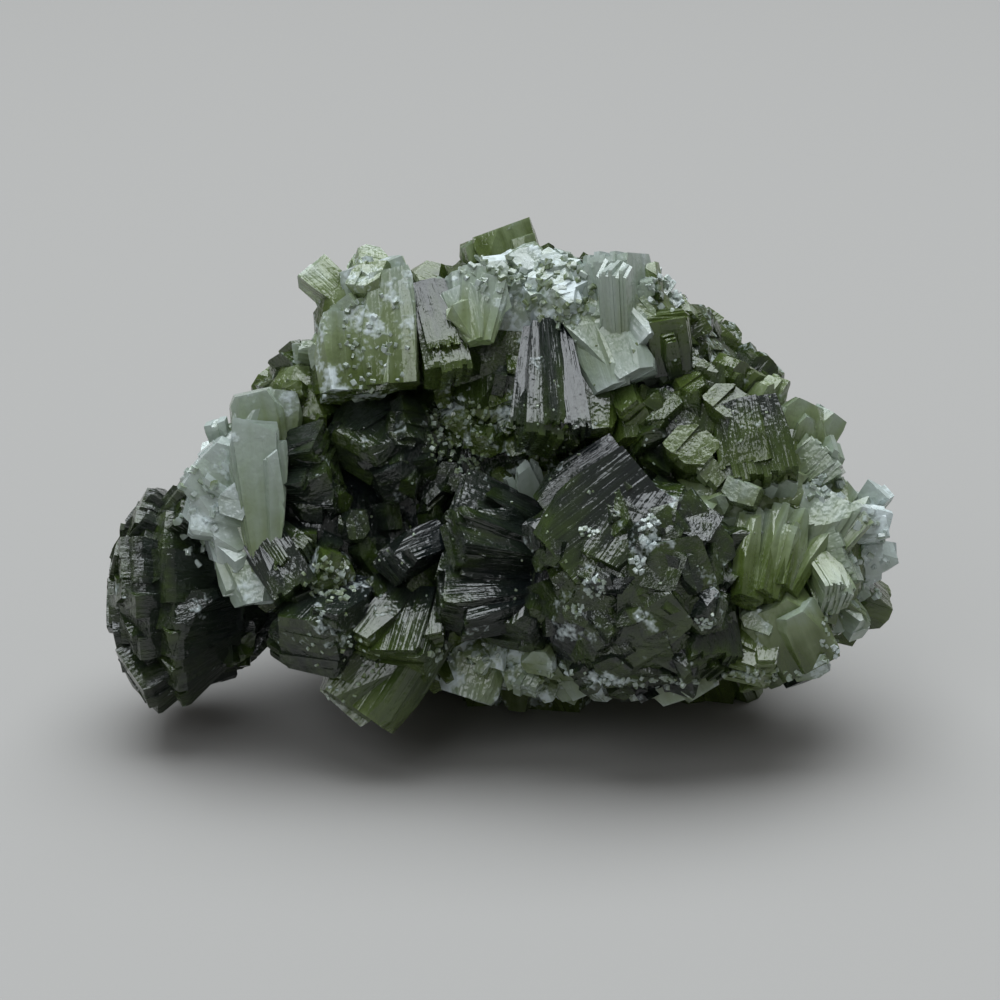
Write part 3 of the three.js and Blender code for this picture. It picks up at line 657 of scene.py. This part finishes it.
def back_rows(draw):
    """Rows of the same form as CRYSTALS for the back."""
    rows = []
    for i in range(BACK_COUNT):
        out = BACK_OUT_LIMIT - (i + 0.5) / BACK_COUNT * (1 + BACK_OUT_LIMIT)
        ring = math.sqrt(1 - out * out)
        around = i * GOLDEN_ANGLE
        direction = (math.cos(around) * ring, math.sin(around) * ring, out)
        reach = draw.uniform(*BACK_REACH)
        tip = [c + d * h * reach for c, d, h in zip(BACK_CENTRE, direction, BACK_HALF)]
        root = [c + d * h * BACK_ROOT for c, d, h in zip(BACK_CENTRE, direction, BACK_HALF)]
        kind = draw.choice(BACK_KINDS)
        pale = draw.uniform(*BACK_PALENESS)
        size = (draw.uniform(*BACK_WIDTH), draw.uniform(*BACK_THICKNESS))
        turn, root_share = draw.uniform(0, 90), draw.uniform(*BACK_ROOT_SHARE)
        rows.append((f"back_{i}", root, tip, *size, turn, root_share, kind, pale, BACK_FROST))
    return rows


for row in back_rows(growing):
    crystals += crystal_group(row, growing, BACK_COMPANIONS)
print(len(crystals), "crystals in all")

# %% [markdown]
# ## The core
# Behind the crystals the prehnite is massive. Each lump starts as an icosphere at its size, and its
# surface is broken up with a fractal subdivide, which is how rough rock is quickly made by hand. Smaller
# lumps close behind the rims fill the gaps between the crystals there.

# %% The core
CORE_LUMPS = [
    # centre and half sizes in the layout, in mm, paleness, frosting
    ((4.0, 4.0, -14.0), (16.0, 10.0, 10.6), 0.3, 0.5),
    ((1.4, 9.6, -8.0), (12.0, 5.6, 6.0), 0.3, 0.2),
    ((14.0, -2.6, -9.6), (8.6, 8.0, 8.0), 0.34, 0.1),
    ((-5.4, 1.0, -13.6), (12.0, 10.0, 9.6), 0.14, 0.25),
    ((-11.8, -2.6, -8.0), (6.0, 7.4, 6.0), 0.12, 0.1),
    ((-2.3, -5.6, -8.0), (11.0, 4.6, 6.0), 0.2, 0.2),
    ((10.3, -6.0, -4.6), (7.6, 5.0, 5.6), 0.2, 0.1),
    ((3.0, -5.0, -17.4), (13.0, 6.2, 9.0), 0.32, 0.5),
    # what fills the gaps between the crystals of the rim, nearer the face
    ((-8.8, 11.0, -3.8), (4.0, 4.6, 3.0), 0.6, 0.4),
    ((1.6, 12.4, -4.0), (6.4, 3.0, 2.6), 0.72, 0.7),
    ((8.6, 10.6, -3.8), (3.8, 4.4, 2.6), 0.6, 0.1),
    ((12.4, 4.4, -3.6), (5.2, 3.8, 3.8), 0.26, 0.05),
    # painted glow: this lump is made pale to stand for light shining through the thin crystals at the right
    ((15.0, -0.4, -3.4), (5.0, 2.8, 3.2), 0.6, 0.0),
    ((18.6, 1.4, -4.4), (3.4, 4.0, 2.8), 0.66, 0.1),
    ((21.2, -4.0, -5.4), (3.4, 5.0, 3.0), 0.7, 0.1),
    # the white of this lump is partly its own frosted colour and partly painted glow of light through the rim
    ((23.0, -3.0, -6.2), (2.3, 4.0, 2.4), 1.0, 0.6),
    ((17.4, -8.4, -4.2), (4.0, 3.4, 3.0), 0.5, 0.2),
    ((-17.6, 0.2, -3.4), (2.4, 4.6, 2.2), 0.78, 0.5),
    ((-12.8, 6.0, -5.4), (3.2, 3.4, 2.8), 0.36, 0.1),
    ((3.0, -9.4, -6.4), (7.4, 3.2, 3.6), 0.6, 0.6),
    ((-6.6, -9.4, -5.6), (4.4, 2.8, 3.0), 0.4, 0.1),
    # the insides of the rounded lump in front and of the group at the far left
    ((8.9, -5.7, -2.8), (7.9, 7.4, 7.0), 0.1, 0.25),
    ((-20.0, -6.8, -9.6), (4.2, 4.8, 4.2), 0.1, 0.1),
]
LUMP_COARSE = 8.0  # mm: a lump larger than this starts from a finer icosphere
LUMP_ROUGH = 0.7
LUMP_GROWTH_OUT = 0.6


def core_lump(index, centre, half, pale, frost, draw):
    """One rough lump of massive prehnite."""
    deselect_all()
    fineness = 3 if max(half) > LUMP_COARSE else 2
    bpy.ops.mesh.primitive_ico_sphere_add(subdivisions=fineness, radius=1, location=(0, 0, 0))
    lump = bpy.context.object
    lump.name = f"core_{index}"
    in_edit_mode(lump)
    bpy.ops.mesh.select_all(action="SELECT")
    bpy.ops.mesh.subdivide(number_cuts=1, fractal=LUMP_ROUGH, fractal_along_normal=1, seed=index)
    bpy.ops.object.mode_set(mode="OBJECT")
    turned = Matrix((ACROSS, UP, OUT)).transposed().to_4x4()
    place = Matrix.Translation(from_layout(centre))
    lump.matrix_world = Matrix.Scale(MM, 4) @ place @ turned @ Matrix.Diagonal((*half, 1))
    bpy.ops.object.transform_apply(location=True, rotation=True, scale=True)
    middle = from_layout(centre)
    growth = OUT * LUMP_GROWTH_OUT + UP * draw.uniform(-1, 1) + ACROSS * draw.uniform(-1, 1)
    set_on_faces(lump, "root", middle * MM)
    set_on_faces(lump, "growth", growth.normalized() / (half[2] * MM))
    set_on_faces(lump, "stacking", ACROSS)
    set_on_faces(lump, "paleness", pale)
    set_on_faces(lump, "frosting", frost)
    return lump


lumps = [core_lump(i, *row, growing) for i, row in enumerate(CORE_LUMPS)]
core = fuse(lumps, "core")
print("core faces:", len(core.data.polygons))

# %% [markdown]
# ## The undergrowth
# Nothing of the core is bare. Short crystals cover it everywhere, also deep in the hollow, standing
# roughly square to its surface. They are placed at points spread over the core's faces, and each takes
# its paleness and frosting from the face that it stands on. They are coarser at the back.

# %% Undergrowth
UNDERGROWTH_COUNT = 760
UNDERGROWTH_WIDTH = (1.2, 3.0)
UNDERGROWTH_THICKNESS = (1.2, 2.6)
UNDERGROWTH_STANDS = (0.6, 2.0)  # mm above the core
UNDERGROWTH_SUNK = 1.6
UNDERGROWTH_BEHIND = 1.6  # how much coarser it is at the back
UNDERGROWTH_BEHIND_FROM = -9.0  # mm, towards the viewer
UNDERGROWTH_LEAN = 0.6
UNDERGROWTH_KINDS = ("block", "splinter", "slab")
UNDERGROWTH_ROOT_SHARE = 0.7
UNDERGROWTH_DIFFERS = 0.08  # in paleness


def spots_on(piece, count, draw):
    """Points spread over a piece's faces, with their normals, in millimetres. Larger faces get more."""
    faces = piece.data.polygons
    areas = [face.area for face in faces]
    for face in draw.choices(faces, weights=areas, k=count):
        yield face.index, face.center / MM, face.normal.copy()


def undergrowth(draw):
    """Short crystals all over the core."""
    pale = core.data.attributes["paleness"].data
    frost = core.data.attributes["frosting"].data
    pieces = []
    for i, (face, place, normal) in enumerate(spots_on(core, UNDERGROWTH_COUNT, draw)):
        lean = Vector([draw.uniform(-1, 1) for _ in range(3)]) * UNDERGROWTH_LEAN
        along = (normal + lean).normalized()
        coarser = UNDERGROWTH_BEHIND if (place - FACE_CENTRE).dot(OUT) < UNDERGROWTH_BEHIND_FROM else 1
        base = place - along * UNDERGROWTH_SUNK
        end = place + along * draw.uniform(*UNDERGROWTH_STANDS)
        stack = stacking_direction(base, end, draw.uniform(0, 180))
        width = draw.uniform(*UNDERGROWTH_WIDTH) * coarser
        thickness = draw.uniform(*UNDERGROWTH_THICKNESS) * coarser
        kind = draw.choice(UNDERGROWTH_KINDS)
        toned = pale[face].value + draw.uniform(-UNDERGROWTH_DIFFERS, UNDERGROWTH_DIFFERS)
        look = (UNDERGROWTH_ROOT_SHARE, kind, toned, frost[face].value)
        pieces.append(placed_copy(f"short_{i}", base, end, stack, width, thickness, *look, draw))
    return pieces


crystals += undergrowth(growing)
print(len(crystals), "crystals with the undergrowth")

# %% [markdown]
# ## One stone
# The lumps and crystals are fused with a union, which drops everything inside. What reaches below the
# floor is cut off level, as the worn ends that the specimen stands on.

# %% Fusing


def triangle_count(piece):
    """How many triangles the faces of a piece make."""
    return sum(len(face.vertices) - 2 for face in piece.data.polygons)


def trim_below_floor(stone):
    """Cuts the stone level at the floor."""
    in_edit_mode(stone)
    bpy.ops.mesh.select_all(action="SELECT")
    bpy.ops.mesh.bisect(plane_co=(0, 0, 0), plane_no=(0, 0, -1), use_fill=True, clear_outer=True)
    bpy.ops.object.mode_set(mode="OBJECT")


def drop_loose_bits(stone):
    """Removes closed pinholes and crumbs: all that isn't joined to the largest part."""
    in_edit_mode(stone)
    bpy.ops.mesh.select_all(action="DESELECT")
    bpy.ops.object.mode_set(mode="OBJECT")
    top = max(stone.data.vertices, key=lambda v: v.co.z)
    top.select = True
    bpy.ops.object.mode_set(mode="EDIT")
    bpy.ops.mesh.select_linked()
    bpy.ops.mesh.select_all(action="INVERT")
    bpy.ops.mesh.delete(type="VERT")
    bpy.ops.object.mode_set(mode="OBJECT")


stone = fuse([core, *crystals], "stone")
print("stone faces:", len(stone.data.polygons), "triangles:", triangle_count(stone))

# %% [markdown]
# ## Druse
# In places the crystals carry a sugary crust of tiny, nearly white ones. Each spot is given in the
# layout; a line from the viewer through a random point of it finds where on the stone it lies, and a
# grain is set there, roughly square to the surface. The lower rims carry the same crust.

# %% The druse
DRUSE = [
    # middle across and up, half sizes, grains, size of a grain in mm, paleness
    (-2.7, 4.1, 2.2, 2.6, 130, 0.32, 0.66),
    (4.0, 13.5, 2.4, 2.4, 70, 0.5, 0.66),
    (-0.6, 15.0, 2.2, 1.2, 40, 0.5, 0.75),
    (11.0, 13.6, 1.2, 1.4, 24, 0.5, 0.85),
    (-20.2, -1.0, 1.4, 3.6, 30, 0.5, 0.85),
    (-11.3, -5.5, 1.9, 1.5, 50, 0.4, 0.66),
    (-8.4, 10.2, 2.4, 3.6, 50, 0.35, 0.75),
    (-10.5, -10.5, 2.6, 3.4, 30, 0.3, 0.66),
    (10.0, -2.3, 0.7, 1.1, 44, 0.36, 0.95),
    (9.2, -4.5, 0.6, 0.5, 18, 0.32, 0.9),
    (6.3, -5.9, 0.9, 0.7, 26, 0.3, 0.75),
    (6.0, -2.3, 0.7, 0.4, 16, 0.3, 0.75),
    (5.0, -7.5, 0.7, 0.5, 16, 0.3, 0.75),
    (13.7, -8.2, 0.7, 0.6, 18, 0.3, 0.8),
    (-2.3, -10.4, 2.4, 0.7, 30, 0.4, 0.75),
    (3.6, -12.0, 1.3, 0.9, 20, 0.4, 0.7),
    (9.5, -12.3, 3.6, 0.4, 50, 0.36, 0.75),
    (17.5, -11.8, 2.6, 0.5, 40, 0.36, 0.75),
    (22.0, -9.5, 0.6, 2.0, 24, 0.36, 0.75),
    (24.6, -3.9, 1.2, 3.2, 30, 0.45, 0.9),
    (21.6, 0.6, 1.4, 1.0, 24, 0.5, 0.85),
    (3.0, -3.0, 13.0, 9.0, 50, 0.2, 0.66),
    (8.0, 6.0, 11.0, 6.0, 40, 0.2, 0.62),
]
GRAIN_LEAN = 0.7
GRAIN_SUNK = 0.5  # this and the next three are shares of a grain's size
GRAIN_STANDS = (0.1, 0.5)
GRAIN_WIDTH = (0.5, 1.3)
GRAIN_THICKNESS = (0.5, 1.1)
GRAIN_ROOT_SHARE = 0.9
GRAIN_DIFFERS = 0.1  # in paleness
GRAIN_FROST = 0.4


def seen_from_viewer(tree, across, up):
    """Where the line from the viewer through a point of the layout meets the stone, in mm, or None."""
    eye = FACE_CENTRE + OUT * VIEW_DISTANCE
    through = FACE_CENTRE + ACROSS * across + UP * up
    place, normal, _, _ = tree.ray_cast(eye * MM, (through - eye).normalized())
    return (place / MM, normal) if place else None


def druse(draw):
    """The grains of every spot."""
    corners = [vertex.co for vertex in stone.data.vertices]
    tree = BVHTree.FromPolygons(corners, [face.vertices for face in stone.data.polygons])
    pieces = []
    for spot, (across, up, half_across, half_up, count, size, pale) in enumerate(DRUSE):
        for i in range(count):
            angle, reach = draw.uniform(0, 2 * math.pi), math.sqrt(draw.uniform(0, 1))
            aside = half_across * reach * math.cos(angle)
            above = half_up * reach * math.sin(angle)
            seen = seen_from_viewer(tree, across + aside, up + above)
            if seen is None:
                continue
            place, normal = seen
            lean = Vector([draw.uniform(-1, 1) for _ in range(3)]) * GRAIN_LEAN
            along = (normal + lean).normalized()
            base = place - along * size * GRAIN_SUNK
            end = place + along * size * draw.uniform(*GRAIN_STANDS)
            stack = stacking_direction(base, end, draw.uniform(0, 180))
            wide, thick = size * draw.uniform(*GRAIN_WIDTH), size * draw.uniform(*GRAIN_THICKNESS)
            toned = pale + draw.uniform(-GRAIN_DIFFERS, GRAIN_DIFFERS)
            look = (GRAIN_ROOT_SHARE, "grain", toned, GRAIN_FROST)
            pieces.append(placed_copy(f"grain_{spot}_{i}", base, end, stack, wide, thick, *look, draw))
    return pieces


grains = druse(growing)
print(len(grains), "grains")
stone = fuse([stone, *grains], "prehnite")
trim_below_floor(stone)
drop_loose_bits(stone)
for model in [*straight.values(), *MODELS.values()]:
    bpy.data.objects.remove(model)
print("stone faces:", len(stone.data.polygons), "triangles:", triangle_count(stone))

# %% [markdown]
# ## Patterns that follow each crystal
# Prehnite shows fine growth lines along every crystal, and its faces are a mosaic of small facets, each
# tilted its own way. Both belong to the crystal and not to the stone, so they are laid out along its
# growth, its plates and the direction across them, which were kept on its faces. Blotches and sugary
# specks lie over all crystals alike, so these are laid out on the stone itself.

# %% Patterns
FINE_STREAK = 0.2  # mm
COARSE_STREAK = 0.7143
FACET = 0.625
BLOTCH = 2.381
SPECKLE = 0.3846
STREAK_SQUEEZE = 0.03  # a streak is this many times as wide as it is long
FACET_SQUEEZE = 0.4  # and a facet this many times
MIDDLE_GREY = (0.5, 0.5, 0.5)  # a facet's random colour less this is its tilt
KEPT_ON_FACES = {
    "root": "Vector",
    "growth": "Vector",
    "stacking": "Vector",
    "paleness": "Fac",
    "frosting": "Fac",
}
VECTOR_MATH = "ShaderNodeVectorMath"
MATH = "ShaderNodeMath"


def crystal_directions(material, got):
    """The place from the crystal's root, how far along it is, and its three directions, in metres."""
    for name, output in KEPT_ON_FACES.items():
        got[name] = add_node(material, "ShaderNodeAttribute", attribute_name=name).outputs[output]
    got["place"] = add_node(material, "ShaderNodeTexCoord").outputs["Object"]
    inside = {0: got["place"], 1: got["root"]}
    inside = add_node(material, VECTOR_MATH, inside, operation="SUBTRACT").outputs["Vector"]
    along = {0: inside, 1: got["growth"]}
    got["along"] = add_node(material, VECTOR_MATH, along, operation="DOT_PRODUCT").outputs["Value"]
    growth = add_node(material, VECTOR_MATH, {0: got["growth"]}, operation="NORMALIZE").outputs["Vector"]
    side = {0: got["stacking"], 1: growth}
    side = add_node(material, VECTOR_MATH, side, operation="CROSS_PRODUCT").outputs["Vector"]
    distances = {}
    for axis, direction in {"X": side, "Y": got["stacking"], "Z": growth}.items():
        distance = add_node(material, VECTOR_MATH, {0: inside, 1: direction}, operation="DOT_PRODUCT")
        distances[axis] = distance.outputs["Value"]
    got["in_crystal"] = add_node(material, "ShaderNodeCombineXYZ", distances).outputs["Vector"]


def crystal_patterns(material, got):
    """Streaks, facets, blotches and specks. The first two are measured in millimetres of the crystal."""
    for name, squeeze in (("streaked", STREAK_SQUEEZE), ("tiled", FACET_SQUEEZE)):
        scaled = {0: got["in_crystal"], 1: (1 / MM, 1 / MM, squeeze / MM)}
        got[name] = add_node(material, VECTOR_MATH, scaled, operation="MULTIPLY").outputs["Vector"]
    for name, where, size, detail in (
        ("fine", "streaked", FINE_STREAK, 2),
        ("coarse", "streaked", COARSE_STREAK, 1),
        ("blotch", "place", BLOTCH * MM, 2),
        ("speckle", "place", SPECKLE * MM, 1),
    ):
        noise = {"Vector": got[where], "Scale": 1 / size, "Detail": detail}
        got[name] = add_node(material, "ShaderNodeTexNoise", noise).outputs["Fac"]
    mosaic = add_node(material, "ShaderNodeTexVoronoi", {"Vector": got["tiled"], "Scale": 1 / FACET})
    in_tile = {0: got["tiled"], 1: mosaic.outputs["Position"]}
    in_tile = add_node(material, VECTOR_MATH, in_tile, operation="SUBTRACT").outputs["Vector"]
    tilt = {0: mosaic.outputs["Color"], 1: MIDDLE_GREY}
    tilt = add_node(material, VECTOR_MATH, tilt, operation="SUBTRACT").outputs["Vector"]
    facets = add_node(material, VECTOR_MATH, {0: in_tile, 1: tilt}, operation="DOT_PRODUCT")
    got["facets"] = facets.outputs["Value"]


print("patterns from", FINE_STREAK, "to", BLOTCH, "mm")

# %% [markdown]
# ## The look of prehnite
# Prehnite is translucent: some light goes in and is tinted yellow-green on its way, so thin plates at the
# rim are pale and thick ones that face away from the light are nearly black. The shader is a dielectric
# with a high index of refraction, part of it transmitting, with absorption inside. The tone from each
# crystal's paleness also paints part of that rim glow and that shade into the base colour. Its tone,
# frosting, roughness and relief are each a sum of the patterns, so one table holds their weights.

# %% The material
PREHNITE_IOR = 1.63
ABSORPTION_COLOUR = "b9d38a"
ABSORPTION_PER_M = 240
FROST_COLOUR = "ccd8d9"
BUMP_DISTANCE = 0.001  # m
BUMP_STRENGTH = 0.8
TONES = {
    0.0: "1a2022",
    0.18: "262f25",
    0.34: "3e4f20",
    0.48: "5a6b32",
    0.62: "8b9b70",
    0.78: "a9b8a6",
    1.0: "ccd8d4",
}
SUMS = [
    # result, whether it is held between 0 and 1, its start, and what is added to it, each times its weight
    # the last few hundredths of a crystal's length
    ("tip", True, -8.37, {"along": 9}),
    # paler towards the end, with streaks and blotches; the paleness it adds is partly each crystal's own
    # colour and partly painted rim glow and hollow shade
    ("tone", False, -0.4, {"paleness": 1, "along": 0.25, "tip": 0.12, "coarse": 0.25, "blotch": 0.25}),
    # frosting: small pale grains, where blotch and specks are strong
    ("grains", True, -5.52, {"speckle": 2.4, "blotch": 6, "frosting": 2.16}),
    ("roughness", False, 0.02, {"fine": 0.22, "grains": 0.35}),
    ("see_through", False, 0.35, {"grains": -0.3}),
    # the relief is strongest on dark crystals, and the specks' own is the same everywhere
    ("relief", False, 0.0, {"fine": 0.1, "coarse": 0.14, "facets": 0.3, "grains": 0.06}),
    ("darkness", False, 1.15, {"paleness": -1}),
    ("specks", False, 0.0, {"speckle": 0.06}),
]


def weighted_sums(material, got):
    """Adds the nodes of every row of SUMS."""
    for result, held, total, weights in SUMS:
        last = list(weights)[-1]
        for name, weight in weights.items():
            term = {0: got[name], 1: weight, 2: total}
            clamped = held and name == last
            added = add_node(material, MATH, term, operation="MULTIPLY_ADD", use_clamp=clamped)
            total = added.outputs["Value"]
        got[result] = total


def prehnite_colour(material, got):
    """Green by tone, and nearly white on the grains."""
    ramp = add_node(material, "ShaderNodeValToRGB", {"Fac": got["tone"]})
    elements = ramp.color_ramp.elements
    while len(elements) < len(TONES):
        elements.new(0.5)
    for element, (position, colour) in zip(elements, TONES.items()):
        element.position = position
        element.color = linear(colour)
    mixed = {"Factor": got["grains"], "A": ramp.outputs["Color"], "B": linear(FROST_COLOUR)}
    return add_node(material, "ShaderNodeMix", mixed, data_type="RGBA").outputs["Result"]


def prehnite_material():
    """Translucent green crystal with growth lines along each crystal."""
    material, shader, output = new_material("grown_prehnite_crystal")
    got = {}
    crystal_directions(material, got)
    crystal_patterns(material, got)
    weighted_sums(material, got)
    height = {0: got["relief"], 1: got["darkness"], 2: got["specks"]}
    height = add_node(material, MATH, height, operation="MULTIPLY_ADD").outputs["Value"]
    bump = {"Height": height, "Distance": BUMP_DISTANCE, "Strength": BUMP_STRENGTH}
    bump = add_node(material, "ShaderNodeBump", bump).outputs["Normal"]
    absorb = {"Color": linear(ABSORPTION_COLOUR), "Density": ABSORPTION_PER_M}
    absorb = add_node(material, "ShaderNodeVolumeAbsorption", absorb).outputs["Volume"]
    links = material.node_tree.links
    links.new(prehnite_colour(material, got), shader.inputs["Base Color"])
    links.new(got["roughness"], shader.inputs["Roughness"])
    links.new(got["see_through"], shader.inputs["Transmission Weight"])
    links.new(bump, shader.inputs["Normal"])
    links.new(absorb, output.inputs["Volume"])
    shader.inputs["IOR"].default_value = PREHNITE_IOR
    return material


stone.data.materials.clear()
stone.data.materials.append(prehnite_material())
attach(stone, "root")
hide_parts(CLUSTER)
print("material set on", stone.name)
